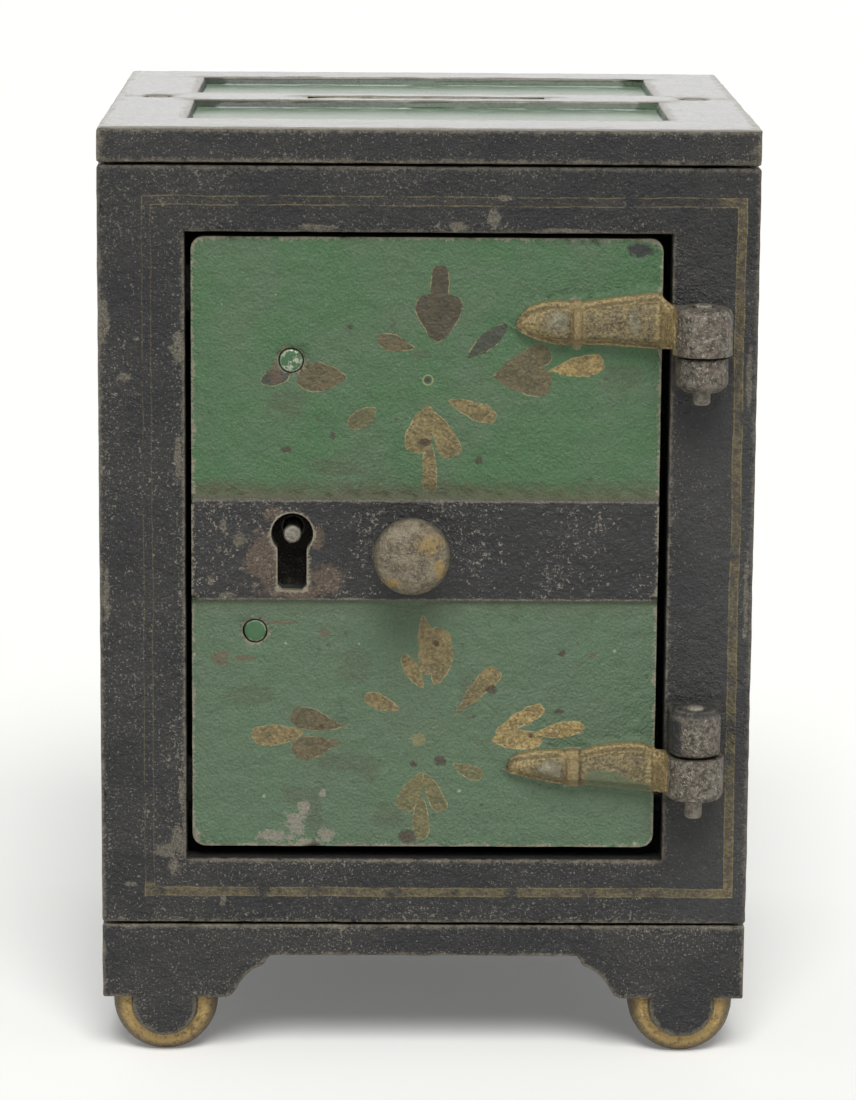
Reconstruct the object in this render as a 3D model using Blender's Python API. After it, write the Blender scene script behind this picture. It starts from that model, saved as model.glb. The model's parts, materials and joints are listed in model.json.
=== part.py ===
"""Toy safe coin bank in cast iron: six castings clamped by two tie rods, a hinged door and a key lock.

Every shape is drawn in millimetres: x to the right, y back from the front face, z up from the ground.
At the end each piece is moved so that the bounding box is centred, and scaled to metres.
"""

import math

import bmesh
import bpy
from mathutils import Matrix, Vector

# Overall size. The knob stands KNOB_PROUD in front of the front face.
HALF_WIDTH = 41.0
DEPTH = 78.0
HEIGHT = 119.0
KNOB_PROUD = 8.0
Y_CENTRE = (DEPTH - KNOB_PROUD) / 2

# Levels of the three storeys: base casting, body walls, top casting. GAP is left between castings.
GAP = 0.3
BASE_TOP = 17.3
WALL_BOTTOM = BASE_TOP + GAP
TOP_BOTTOM = 114.6
WALL_TOP = TOP_BOTTOM - GAP

# Wall thicknesses.
FRAME_T = 4.0
SIDE_T = 3.0
BACK_T = 4.0
SKIRT_T = 2.8

# Door opening in the front frame, and the door itself.
OPEN_X, OPEN_LOW, OPEN_HIGH = 30.2, 26.0, 106.1
DOOR_LEFT, DOOR_RIGHT, DOOR_LOW, DOOR_HIGH = -29.45, 29.1, 27.5, 105.45
DOOR_FACE, BAND_FACE, DOOR_BACK = 0.9, 0.45, 4.0
BAND_LOW, BAND_HIGH = 59.6, 72.4
DOOR_CORNER = 1.6

# Hinges: one axis, with a door knuckle and a frame knuckle on each pin.
HINGE_X, HINGE_Y = 33.8, -4.0
DOOR_KNUCKLE_R, FRAME_KNUCKLE_R = 3.7, 3.25
PIN_R, PIN_BORE_R = 1.1, 1.25
UPPER_DOOR_KNUCKLE, UPPER_FRAME_KNUCKLE = (91.8, 97.7), (87.1, 91.5)
LOWER_FRAME_KNUCKLE, LOWER_DOOR_KNUCKLE = (41.15, 46.9), (35.3, 40.85)

# Feet: half-round lobes under each corner block, ground flat at the bottom.
FOOT_X, FOOT_Z, FOOT_R, FOOT_DISC_R, FOOT_T = 33.1, 6.6, 6.7, 4.1, 7.0
FOOT_BLOCK_BOTTOM, APRON_BOTTOM = 7.6, 13.2

# Coin slot, tie rods and recessed panels.
SLOT_X, SLOT_Y, SLOT_HALF = 15.65, 40.3, 1.3
ROD_X, ROD_Y, ROD_R, ROD_HOLE_R = 35.4, 40.5, 1.6, 1.85
TOP_PANEL_X = 30.5
TOP_PANELS = ((11.5, 36.0), (45.6, 68.8))
TOP_PANEL_DEPTH, SIDE_PANEL_DEPTH = 1.1, 0.8

# Lock, on the back of the door.
KEY_X, KEY_Z, KEY_R, KEY_SLOT_HALF, KEY_SLOT_BOTTOM = -16.85, 68.05, 2.65, 1.84, 60.85
RIVET_R, RIVET_HOLE_R = 1.45, 1.6
UPPER_RIVET, LOWER_RIVET = (-17.0, 90.0), (-21.5, 55.5)
KNOB_X, KNOB_Z = -1.9, 66.5
BOLT_TIP, BOLT_END, BOLT_LOW, BOLT_HIGH = -27.6, -1.5, 72.0, 78.0
BOLT_FRONT, BOLT_BACK = DOOR_BACK + GAP, 6.5
BOLT_THROW = 4.5
STUD_X, STUD_Z, STUD_R, STUD_HOLE_R = -9.5, 75.0, 1.2, 1.35
BRIDGE_FRONT, BRIDGE_BACK = 6.9, 8.9

BLACK = (0.045, 0.045, 0.05)
GREEN = (0.095, 0.21, 0.11)
IRON = (0.2, 0.18, 0.16)
STEEL = (0.42, 0.41, 0.4)


# ---------------------------------------------------------------- shape helpers


def solid(name, verts, faces):
    """A mesh object with its faces turned outwards."""
    mesh = bpy.data.meshes.new(name)
    mesh.from_pydata([tuple(v) for v in verts], [], faces)
    bm = bmesh.new()
    bm.from_mesh(mesh)
    bmesh.ops.recalc_face_normals(bm, faces=bm.faces)
    bm.to_mesh(mesh)
    bm.free()
    obj = bpy.data.objects.new(name, mesh)
    bpy.context.scene.collection.objects.link(obj)
    return obj


def placed(a, b, along, axis):
    """The point with in-plane coordinates a, b and position `along` the named axis."""
    return {"x": (along, a, b), "y": (a, along, b), "z": (a, b, along)}[axis]


def loft(name, rings):
    """A closed body through equal-length rings of points, with flat ends."""
    n = len(rings[0])
    verts = [v for ring in rings for v in ring]
    faces = [tuple(range(n)), tuple(range((len(rings) - 1) * n, len(rings) * n))]
    for k in range(len(rings) - 1):
        for i in range(n):
            j = (i + 1) % n
            faces.append((k * n + i, k * n + j, (k + 1) * n + j, (k + 1) * n + i))
    return solid(name, verts, faces)


def prism(name, outline, axis, low, high):
    """An outline extruded along x, y or z. Its points are (y, z), (x, z) or (x, y)."""
    return loft(name, [[placed(a, b, t, axis) for a, b in outline] for t in (low, high)])


def box(name, x0, x1, y0, y1, z0, z1):
    return prism(name, [(x0, z0), (x1, z0), (x1, z1), (x0, z1)], "y", y0, y1)


def turned(name, profile, axis, centre, segments=24):
    """A profile of (radius, position) pairs, from axis to axis, turned about x, y or z."""
    verts, rings = [], []
    for radius, along in profile:
        count = 1 if radius == 0 else segments
        start = len(verts)
        for i in range(count):
            angle = 2 * math.pi * i / segments
            a = centre[0] + radius * math.cos(angle)
            b = centre[1] + radius * math.sin(angle)
            verts.append(placed(a, b, along, axis))
        rings.append(list(range(start, start + count)))
    faces = []
    for first, second in zip(rings, rings[1:]):
        for i in range(segments):
            j = (i + 1) % segments
            corners = [
                first[i % len(first)],
                first[j % len(first)],
                second[j % len(second)],
                second[i % len(second)],
            ]
            faces.append(tuple(dict.fromkeys(corners)))
    return solid(name, verts, faces)


def cylinder(name, radius, axis, centre, low, high, segments=24):
    profile = [(0, low), (radius, low), (radius, high), (0, high)]
    return turned(name, profile, axis, centre, segments)


def rounded_outline(x0, x1, z0, z1, radius, steps=4):
    """A rectangle's outline with round corners, as (x, z) points."""
    corners = ((x1, z1, 0), (x0, z1, 90), (x0, z0, 180), (x1, z0, 270))
    points = []
    for x, z, start in corners:
        cx = x + math.copysign(radius, (x0 + x1) / 2 - x)
        cz = z + math.copysign(radius, (z0 + z1) / 2 - z)
        for i in range(steps + 1):
            angle = math.radians(start + 90 * i / steps)
            points.append((cx + radius * math.cos(angle), cz + radius * math.sin(angle)))
    return points


def combine(target, operation, tools):
    """Applies one exact Boolean per tool to the target, and removes the tools."""
    for tool in tools:
        modifier = target.modifiers.new(operation.lower(), "BOOLEAN")
        modifier.operation = operation
        modifier.solver = "EXACT"
        modifier.object = tool
        graph = bpy.context.evaluated_depsgraph_get()
        mesh = bpy.data.meshes.new_from_object(target.evaluated_get(graph))
        target.modifiers.clear()
        target.data = mesh
        bpy.data.objects.remove(tool)
    return target


def join(target, *tools):
    return combine(target, "UNION", tools)


def cut(target, *tools):
    return combine(target, "DIFFERENCE", tools)


def recess(axis, surface, depth, a0, a1, b0, b1, slope=0.5):
    """A cutter for a shallow panel with sloped sides, sunk by `depth` from the surface."""
    out = math.copysign(1.0, -depth)
    rings = []
    for along, shrink in ((surface + out, 0.0), (surface, 0.0), (surface + depth, slope)):
        a, b, c, d = a0 + shrink, a1 - shrink, b0 + shrink, b1 - shrink
        rings.append([placed(p, q, along, axis) for p, q in ((a, c), (b, c), (b, d), (a, d))])
    return loft("recess", rings)


# ---------------------------------------------------------------- finishing


def material(name, colour, roughness, metallic):
    made = bpy.data.materials.new(name)
    made.use_nodes = True
    shader = made.node_tree.nodes["Principled BSDF"]
    shader.inputs["Base Color"].default_value = (*colour, 1.0)
    shader.inputs["Roughness"].default_value = roughness
    shader.inputs["Metallic"].default_value = metallic
    return made


def finish(obj, name, colour, roughness=0.5, metallic=0.0, origin=(0.0, 0.0, 0.0), smooth=True):
    """Names the piece, gives it its material, and moves it to metres about its own origin."""
    obj.name = obj.data.name = name
    obj.data.materials.clear()
    obj.data.materials.append(material(name, colour, roughness, metallic))
    offset = Vector(origin)
    obj.data.transform(Matrix.Scale(0.001, 4) @ Matrix.Translation(-offset))
    obj.location = (offset - Vector((0.0, Y_CENTRE, 0.0))) * 0.001
    if smooth:
        obj.data.shade_smooth()
        obj.data.set_sharp_from_angle(angle=math.radians(30))
    return obj


# ---------------------------------------------------------------- base and top castings


def bracket_outline(half, middle):
    """The skirt's outline: feet blocks at both ends, a cove, and a straight apron between."""
    cove = (
        (15.8, 7.6), (16.5, 7.9), (17.0, 8.6), (17.5, 9.5), (18.2, 10.4),
        (19.1, 11.2), (20.1, 11.7), (20.7, 12.0), (20.9, 12.6), (21.4, APRON_BOTTOM),
    )
    left = [(-half, 15.0), (-half, FOOT_BLOCK_BOTTOM)] + [(d - half, z) for d, z in cove]
    right = [(-a, z) for a, z in reversed(left)]
    return [(middle + a, z) for a, z in left + right]


def foot_lobe(x, front):
    """A half-round foot: a flat disc in line with the skirt, then a rounded ring set back from it."""
    step = 1 if front == 0 else -1
    profile = [
        (0, 0), (FOOT_DISC_R, 0), (FOOT_DISC_R + 0.1, 0.9), (5.2, 1.1),
        (6.1, 1.7), (6.55, 2.5), (FOOT_R, 3.5), (FOOT_R, FOOT_T), (0, FOOT_T),
    ]
    return turned(
        "lobe", [(r, front + step * y) for r, y in profile], "y", (x, FOOT_Z), 40
    )


def locating_ribs(low, high):
    """Ribs just inside the four walls, which keep the walls in place."""
    inner = HALF_WIDTH - SIDE_T - 0.4
    ribs = [
        box("rib", -31, 31, FRAME_T + 0.4, FRAME_T + 2.2, low, high),
        box("rib", -31, 31, DEPTH - BACK_T - 2.2, DEPTH - BACK_T - 0.4, low, high),
    ]
    for side in (-1, 1):
        edges = sorted((side * inner, side * (inner - 1.8)))
        for y in ((12, 30), (50, 66)):
            ribs.append(box("rib", *edges, *y, low, high))
    return ribs


def make_base():
    base = box("base", -HALF_WIDTH, HALF_WIDTH, 0, DEPTH, 13.6, BASE_TOP)
    across = bracket_outline(HALF_WIDTH, 0)
    along = bracket_outline(DEPTH / 2, DEPTH / 2)
    join(
        base,
        prism("skirt", across, "y", 0, SKIRT_T),
        prism("skirt", across, "y", DEPTH - SKIRT_T, DEPTH),
        prism("skirt", along, "x", -HALF_WIDTH, -HALF_WIDTH + SKIRT_T),
        prism("skirt", along, "x", HALF_WIDTH - SKIRT_T, HALF_WIDTH),
        *(foot_lobe(x, y) for x in (-FOOT_X, FOOT_X) for y in (0, DEPTH)),
        *locating_ribs(BASE_TOP - 1, BASE_TOP + 3.2),
    )
    cut(
        base,
        box("ground", -50, 50, -10, DEPTH + 10, -2, 0),
        *(cylinder("hole", ROD_HOLE_R, "z", (x, ROD_Y), 10, 20) for x in (-ROD_X, ROD_X)),
    )
    return finish(base, "base_casting", BLACK)


def make_top():
    top = box("top", -HALF_WIDTH, HALF_WIDTH, 0, DEPTH, TOP_BOTTOM, HEIGHT)
    join(top, *locating_ribs(TOP_BOTTOM - 3.2, TOP_BOTTOM + 1))
    slot = box(
        "slot", -SLOT_X, SLOT_X, SLOT_Y - SLOT_HALF, SLOT_Y + SLOT_HALF, TOP_BOTTOM - 2, HEIGHT + 2
    )
    panels = [
        recess("z", HEIGHT, -TOP_PANEL_DEPTH, -TOP_PANEL_X, TOP_PANEL_X, y0, y1)
        for y0, y1 in TOP_PANELS
    ]
    holes = [
        cylinder("hole", ROD_HOLE_R, "z", (x, ROD_Y), TOP_BOTTOM - 5, HEIGHT + 2)
        for x in (-ROD_X, ROD_X)
    ]
    cut(top, slot, *panels, *holes)
    return finish(top, "top_casting", BLACK)


# ---------------------------------------------------------------- walls


def frame_knuckle(low, high, round_top):
    """A hinge lug: a knuckle on a short square neck, with its outer end rounded."""
    r = FRAME_KNUCKLE_R
    if round_top:
        profile = [(0, low), (r, low), (r, high - 0.7), (r - 0.7, high), (0, high)]
    else:
        profile = [(0, low), (r - 1.0, low), (r, low + 1.0), (r, high), (0, high)]
    knuckle = turned("knuckle", profile, "z", (HINGE_X, HINGE_Y), 32)
    neck = box(
        "neck", HINGE_X - r + 0.1, HINGE_X + r - 0.1, HINGE_Y, 1.0,
        low + (0 if round_top else 0.4), high - (0.4 if round_top else 0),
    )
    return join(knuckle, neck)


def stop_lug(low, high):
    """A lug behind the opening's left edge, which stops the door when it closes."""
    root = box("lug", -34.0, -OPEN_X - 0.4, FRAME_T - 1, FRAME_T + 2.3, low, high)
    lip = box("lip", -33.0, -28.2, DOOR_BACK + GAP, FRAME_T + 2.3, low, high)
    return join(root, lip)


def make_front_frame():
    frame = box("frame", -HALF_WIDTH, HALF_WIDTH, 0, FRAME_T, WALL_BOTTOM, WALL_TOP)
    cut(frame, box("opening", -OPEN_X, OPEN_X, -1, FRAME_T + 1, OPEN_LOW, OPEN_HIGH))
    join(
        frame,
        stop_lug(95.5, 101.5),
        stop_lug(32.0, 38.0),
        frame_knuckle(*UPPER_FRAME_KNUCKLE, round_top=False),
        frame_knuckle(*LOWER_FRAME_KNUCKLE, round_top=True),
    )
    cut(frame, cylinder("bore", PIN_BORE_R, "z", (HINGE_X, HINGE_Y), 30, 100))
    return finish(frame, "front_frame", BLACK)


def make_side(name, side):
    edges = sorted((side * HALF_WIDTH, side * (HALF_WIDTH - SIDE_T)))
    wall = box(name, *edges, FRAME_T + GAP, DEPTH - BACK_T - GAP, WALL_BOTTOM, WALL_TOP)
    sink = -side * SIDE_PANEL_DEPTH
    cut(wall, recess("x", side * HALF_WIDTH, sink, 13.0, 65.0, 29.0, 103.0))
    return finish(wall, name, BLACK)


def make_back():
    back = box("back", -HALF_WIDTH, HALF_WIDTH, DEPTH - BACK_T, DEPTH, WALL_BOTTOM, WALL_TOP)
    cut(back, recess("y", DEPTH, -SIDE_PANEL_DEPTH, -30.5, 30.5, 29.0, 103.0))
    return finish(back, "back_wall", BLACK)


def make_tie_rod(name, x):
    """A rod with a head under the base, peened over in the top casting's hole."""
    r = ROD_R
    profile = [
        (0, 12.3), (1.9, 12.3), (2.35, 12.8), (2.35, 13.3), (r, 13.3),
        (r, HEIGHT - 2.2), (r + 0.1, HEIGHT - 0.5), (r - 0.3, HEIGHT - 0.1), (0, HEIGHT - 0.05),
    ]
    return finish(turned(name, profile, "z", (x, ROD_Y), 20), name, IRON, 0.6, 0.8)


# ---------------------------------------------------------------- door


def strap(stations):
    """A raised leaf-shaped strap with a low border. Each station is x, top, bottom, height, back y."""
    rings = []
    for x, top, bottom, height, back in stations:
        edge = min(0.5, back - 0.1)
        rim = 0.4 * height - 0.1
        border = min(0.8, 0.22 * (top - bottom))
        section = (
            (back, top), (edge, top), (-rim, top - 0.15 * border), (-rim, top - border),
            (-height, top - 1.7 * border), (-height - 0.2, (top + bottom) / 2),
            (-height, bottom + 1.4 * border), (-rim, bottom + 0.7 * border),
            (-rim, bottom + 0.15 * border), (edge, bottom), (back, bottom),
        )
        rings.append([(x, y, z) for y, z in section])
    return loft("strap", rings)


def upper_strap():
    return strap((
        (10.95, 94.95, 94.2, -0.3, 1.9), (11.4, 95.95, 93.8, 0.1, 1.9), (12.5, 97.0, 93.2, 0.6, 1.9),
        (14.0, 97.55, 92.6, 1.0, 1.9), (15.7, 97.8, 92.25, 1.35, 1.9), (17.2, 97.8, 92.15, 1.45, 1.9),
        (17.8, 97.65, 92.2, 1.1, 1.9), (18.0, 97.85, 92.0, 1.7, 1.9), (18.9, 97.85, 92.0, 1.7, 1.9),
        (19.1, 97.65, 92.2, 1.25, 1.9), (21.0, 97.95, 92.2, 1.4, 1.9), (23.0, 98.3, 92.15, 1.45, 1.9),
        (25.0, 98.5, 92.0, 1.5, 1.9), (27.0, 98.75, 91.85, 1.55, 1.9), (28.8, 98.85, 91.75, 1.7, 1.9),
        (29.2, 98.2, 91.85, 2.6, -0.4), (30.2, 97.4, 91.95, 5.0, -0.4), (33.8, 97.3, 92.1, 5.6, -0.4),
    ))


def lower_strap():
    return strap((
        (10.3, 38.35, 37.6, -0.3, 1.9), (10.8, 39.3, 37.3, 0.1, 1.9), (12.0, 39.95, 36.95, 0.6, 1.9),
        (13.2, 40.25, 36.65, 0.9, 1.9), (15.0, 40.45, 36.3, 1.3, 1.9), (17.2, 40.5, 35.95, 1.45, 1.9),
        (17.8, 40.35, 35.95, 1.1, 1.9), (18.0, 40.55, 35.7, 1.7, 1.9), (19.4, 40.55, 35.7, 1.7, 1.9),
        (19.6, 40.35, 35.9, 1.25, 1.9), (21.7, 41.0, 35.65, 1.4, 1.9), (23.8, 41.35, 35.5, 1.45, 1.9),
        (25.9, 41.5, 35.3, 1.5, 1.9), (27.7, 41.35, 35.1, 1.55, 1.9), (28.8, 40.9, 35.0, 1.7, 1.9),
        (29.2, 40.75, 35.1, 2.6, -0.4), (30.2, 40.65, 35.3, 5.0, -0.4), (33.8, 40.6, 35.6, 5.6, -0.4),
    ))


def door_knuckle(low, high, round_top):
    r = DOOR_KNUCKLE_R
    if round_top:
        end = [(r, low), (r, high - 1.0), (r - 0.3, high - 0.3), (r - 1.0, high)]
    else:
        end = [(r - 1.0, low), (r - 0.3, low + 0.3), (r, low + 1.0), (r, high)]
    profile = [(0, low), *end, (0, high)]
    return turned("knuckle", profile, "z", (HINGE_X, HINGE_Y), 32)


def key_hole():
    points = []
    start = math.asin(KEY_SLOT_HALF / KEY_R)
    for i in range(21):
        angle = -math.pi / 2 + start + (2 * math.pi - 2 * start) * i / 20
        points.append((KEY_X + KEY_R * math.cos(angle), KEY_Z + KEY_R * math.sin(angle)))
    low, half = KEY_SLOT_BOTTOM, KEY_SLOT_HALF
    points += [(KEY_X - half, low + 0.6), (KEY_X - half + 0.6, low)]
    points += [(KEY_X + half - 0.6, low), (KEY_X + half, low + 0.6)]
    return prism("keyhole", points, "y", -2, DOOR_BACK + 2)


def spring_post():
    """A slotted post on the door's back, which grips the spring."""
    post = box("post", -3.2, 0.6, DOOR_BACK - 0.5, 7.2, 81.2, 86.0)
    return cut(post, box("slot", -5, 2, DOOR_BACK + 0.2, 8, 83.0, 84.2))


def make_door():
    outline = rounded_outline(DOOR_LEFT, DOOR_RIGHT, DOOR_LOW, DOOR_HIGH, DOOR_CORNER)
    door = prism("door", outline, "y", DOOR_FACE, DOOR_BACK)
    band = rounded_outline(DOOR_LEFT, DOOR_RIGHT, BAND_LOW, BAND_HIGH, 0.5, 2)
    join(
        door,
        prism("band", band, "y", BAND_FACE, 2.0),
        upper_strap(),
        lower_strap(),
        door_knuckle(*UPPER_DOOR_KNUCKLE, round_top=True),
        door_knuckle(*LOWER_DOOR_KNUCKLE, round_top=False),
        box("guide", -26.5, -22.9, DOOR_BACK - 0.5, 6.5, BOLT_LOW - 2.4, BOLT_LOW - GAP),
        box("guide", -26.5, -22.9, DOOR_BACK - 0.5, 6.5, BOLT_HIGH + GAP, BOLT_HIGH + 2.4),
        spring_post(),
    )
    cut(
        door,
        key_hole(),
        cylinder("bore", PIN_BORE_R, "z", (HINGE_X, HINGE_Y), 30, 100),
        cylinder("hole", RIVET_HOLE_R, "y", UPPER_RIVET, -1, 5),
        cylinder("hole", RIVET_HOLE_R, "y", LOWER_RIVET, -1, 5),
        cylinder("hole", 1.75, "y", (KNOB_X, KNOB_Z), -1, 5),
        cylinder("hole", STUD_HOLE_R, "y", (STUD_X, STUD_Z), 2.0, 5),
    )
    return finish(door, "door", GREEN, origin=(HINGE_X, HINGE_Y, DOOR_LOW))


def make_hinge_pin(name, low, high):
    """A plain pin through one pair of knuckles, with its upper end slightly domed."""
    profile = [
        (0, low), (0.9, low), (PIN_R, low + 0.3), (PIN_R, high - 0.25), (0.8, high - 0.05), (0, high),
    ]
    pin = turned("pin", profile, "z", (HINGE_X, HINGE_Y), 24)
    return finish(pin, name, IRON, 0.55, 0.8)


def make_knob():
    """The pull knob, with its shank riveted over behind the door."""
    profile = [
        (0, -8.0), (1.6, -7.95), (3.0, -7.75), (4.1, -7.35), (4.65, -6.8), (4.8, -6.1),
        (4.75, -5.2), (4.3, -4.4), (3.2, -3.8), (2.3, -3.3), (2.1, -2.6), (2.1, -1.1),
        (2.4, -0.5), (3.0, -0.2), (3.0, BAND_FACE - GAP), (1.6, BAND_FACE - GAP),
        (1.6, DOOR_BACK + GAP), (2.6, DOOR_BACK + GAP), (2.3, 5.0), (0, 5.3),
    ]
    return finish(turned("knob", profile, "y", (KNOB_X, KNOB_Z), 40), "knob", IRON, 0.55, 0.8)


# ---------------------------------------------------------------- lock


def make_lock_bridge():
    """The plate over the bolt. Its two feet are riveted through the door."""
    outline = [
        (-25.0, 52.0), (-18.0, 52.0), (-12.3, 62.0), (-12.3, 80.0), (-13.6, 86.5), (-13.6, 93.4),
        (-20.4, 93.4), (-20.4, 86.5), (-22.4, 80.0), (-22.4, 62.0), (-25.0, 59.0),
    ]
    bridge = prism("bridge", outline, "y", BRIDGE_FRONT, BRIDGE_BACK)
    foot = DOOR_BACK + GAP
    join(
        bridge,
        box("foot", -20.4, -13.6, foot, BRIDGE_FRONT + 0.8, 86.5, 93.4),
        box("foot", -24.9, -18.2, foot, BRIDGE_FRONT + 0.8, 52.1, 58.9),
    )
    cut(
        bridge,
        cylinder("hole", RIVET_HOLE_R, "y", UPPER_RIVET, 3, 11),
        cylinder("hole", RIVET_HOLE_R, "y", LOWER_RIVET, 3, 11),
        cylinder("hole", 1.3, "y", (KEY_X, KEY_Z - 0.3), 3, 11),
    )
    return finish(bridge, "lock_bridge", IRON, 0.6, 0.7)


def make_rivet(name, centre, front):
    """A rivet through the door and the bridge, with its head behind."""
    head = BRIDGE_BACK + GAP
    profile = [
        (0, front), (RIVET_R - 0.2, front + 0.05), (RIVET_R, front + 0.25), (RIVET_R, head),
        (2.3, head), (2.2, head + 0.4), (1.4, head + 0.8), (0, head + 0.9),
    ]
    return finish(turned(name, profile, "y", centre, 24), name, GREEN, 0.6, 0.3)


def make_key_post():
    """The post that a barrel key fits over, riveted to the bridge."""
    head = BRIDGE_BACK + GAP
    profile = [
        (0, 1.6), (0.95, 1.65), (1.15, 1.9), (1.15, head), (1.9, head), (1.8, head + 0.4), (0, head + 0.7),
    ]
    post = turned("post", profile, "y", (KEY_X, KEY_Z - 0.3), 20)
    return finish(post, "key_post", STEEL, 0.4, 0.9)


def make_bolt():
    """The sliding bolt: a talon for the key below, and a slot for the guide stud."""
    bolt = box("bolt", BOLT_TIP, BOLT_END, BOLT_FRONT, BOLT_BACK, BOLT_LOW, BOLT_HIGH)
    half = STUD_HOLE_R + 0.05
    slot = rounded_outline(
        STUD_X - half, STUD_X + BOLT_THROW + half, STUD_Z - half, STUD_Z + half, half - 0.01, 6
    )
    cut(
        bolt,
        box("talon", -18.9, -14.9, 3, 8, BOLT_LOW - 1, BOLT_LOW + 3),
        prism("slot", slot, "y", 3, 8),
    )
    return finish(bolt, "lock_bolt", STEEL, 0.45, 0.9, origin=(BOLT_TIP, BOLT_FRONT, BOLT_LOW))


def make_guide_stud():
    """The headed stud, set in the door's back, that the bolt's slot runs on."""
    head = BOLT_BACK + GAP
    profile = [
        (0, 2.3), (STUD_R, 2.3), (STUD_R, head), (2.3, head), (2.3, head + 0.5), (1.7, head + 0.9),
        (0, head + 0.95),
    ]
    return finish(
        turned("stud", profile, "y", (STUD_X, STUD_Z), 20), "bolt_guide_stud", STEEL, 0.45, 0.9
    )


def make_spring():
    """The leaf spring that bears on the bolt's upper edge."""
    middle = (
        (0.3, 83.6), (-3.4, 83.6), (-5.6, 83.2), (-8.0, 82.2), (-10.4, 80.6),
        (-12.4, 79.2), (-13.6, 78.75), (-14.8, 79.0), (-15.6, 79.6),
    )
    upper = [(x, z + 0.28) for x, z in middle]
    lower = [(x, z - 0.28) for x, z in reversed(middle)]
    return finish(prism("spring", upper + lower, "y", 4.5, 6.4), "bolt_spring", STEEL, 0.4, 0.95)


# ---------------------------------------------------------------- the whole bank


def main():
    for obj in list(bpy.data.objects):
        bpy.data.objects.remove(obj)
    make_base()
    make_top()
    make_front_frame()
    make_side("left_wall", -1)
    make_side("right_wall", 1)
    make_back()
    make_tie_rod("tie_rod_left", -ROD_X)
    make_tie_rod("tie_rod_right", ROD_X)
    make_door()
    make_hinge_pin("hinge_pin_upper", 85.5, UPPER_DOOR_KNUCKLE[1] + 0.4)
    make_hinge_pin("hinge_pin_lower", 32.8, LOWER_FRAME_KNUCKLE[1] + 0.35)
    make_knob()
    make_lock_bridge()
    make_rivet("lock_rivet_upper", UPPER_RIVET, DOOR_FACE - 0.35)
    make_rivet("lock_rivet_lower", LOWER_RIVET, DOOR_FACE)
    make_key_post()
    make_bolt()
    make_guide_stud()
    make_spring()


main()
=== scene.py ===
"""Looks of the toy safe coin bank: worn castings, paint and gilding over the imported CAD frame.

Lengths are millimetres: x to the right, y back, z up. In the paint functions `s` is the Shader, whose y
starts at the front face, and a share or mask runs from 0 to 1.
"""

import json
import math

import bmesh
import bpy
from mathutils import Matrix, Vector, kdtree, noise

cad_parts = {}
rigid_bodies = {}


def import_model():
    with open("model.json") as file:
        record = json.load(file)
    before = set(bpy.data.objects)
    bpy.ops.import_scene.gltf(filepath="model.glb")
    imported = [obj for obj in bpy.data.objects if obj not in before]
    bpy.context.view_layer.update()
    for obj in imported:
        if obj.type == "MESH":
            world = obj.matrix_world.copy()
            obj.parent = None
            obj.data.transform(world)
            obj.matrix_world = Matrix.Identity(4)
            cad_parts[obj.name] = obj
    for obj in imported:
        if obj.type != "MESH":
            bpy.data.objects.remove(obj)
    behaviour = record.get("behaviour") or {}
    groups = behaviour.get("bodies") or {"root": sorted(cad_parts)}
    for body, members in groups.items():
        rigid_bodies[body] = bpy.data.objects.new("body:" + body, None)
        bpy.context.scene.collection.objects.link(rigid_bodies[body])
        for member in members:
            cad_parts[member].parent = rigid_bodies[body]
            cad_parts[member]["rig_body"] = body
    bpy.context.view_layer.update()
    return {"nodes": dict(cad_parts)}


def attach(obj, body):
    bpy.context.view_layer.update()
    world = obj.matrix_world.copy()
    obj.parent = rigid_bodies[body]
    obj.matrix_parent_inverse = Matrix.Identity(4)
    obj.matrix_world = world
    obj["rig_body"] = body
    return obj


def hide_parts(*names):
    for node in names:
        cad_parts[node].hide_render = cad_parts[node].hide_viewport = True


for leftover in list(bpy.data.objects):
    bpy.data.objects.remove(leftover)
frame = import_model()

MM = 0.001  # a millimetre in metres, which the frame is in
NO_STRETCH = (1, 1, 1)

# Places on the CAD, which paint and bevels share.
FRONT_Y = -35.0  # where the front face lies in the frame
BAND_Z, BAND_HALF = 66.0, 6.4  # the raised band across the door
UPPER_RIVET, LOWER_RIVET = (-17.0, 90.0), (-21.5, 55.5)
UPPER_STRAP_Z, LOWER_STRAP_Z = 95.3, 38.2
KEYHOLE_X, KEYHOLE_Z = -16.85, 68.05  # centre of the keyhole's round part
FOOT_X, FOOT_Z = 33.1, 6.6  # centre of a foot's half round
LID_Z = 118.8  # between the lid's rim and its recesses

FAR_EDGE = 9.0  # edge distances are cut off here
BEVELLED_ABOVE = 38  # degrees that an edge turns by
SHADED_SHARP_ABOVE = 50  # degrees


# ---------------------------------------------------------------- geometry


def edge_points(bm, convex, angle=35.0, spacing=0.4):
    """A tree of points along the sharp outer (convex) or inner edges, to measure distances to them."""
    points = []
    for edge in bm.edges:
        if len(edge.link_faces) != 2:
            continue
        turn = math.degrees(edge.calc_face_angle_signed())
        if (turn > angle) if convex else (turn < -angle):
            a, b = edge.verts[0].co, edge.verts[1].co
            steps = max(1, int((b - a).length / spacing))
            points += [a.lerp(b, i / steps) for i in range(steps + 1)]
    tree = kdtree.KDTree(max(1, len(points)))
    for i, point in enumerate(points or [Vector((1e4, 0, 0))]):
        tree.insert(point, i)
    tree.balance()
    return tree


def refine(bm, limit):
    """Splits edges until none is longer than `limit`, which may depend on the place."""
    for _ in range(9):
        bmesh.ops.triangulate(bm, faces=[f for f in bm.faces if len(f.verts) > 3])
        long_edges = [
            e for e in bm.edges if e.calc_length() > limit((e.verts[0].co + e.verts[1].co) / 2)
        ]
        if not long_edges:
            break
        bmesh.ops.subdivide_edges(bm, edges=long_edges, cuts=1)
    bmesh.ops.triangulate(bm, faces=[f for f in bm.faces if len(f.verts) > 3])


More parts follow.
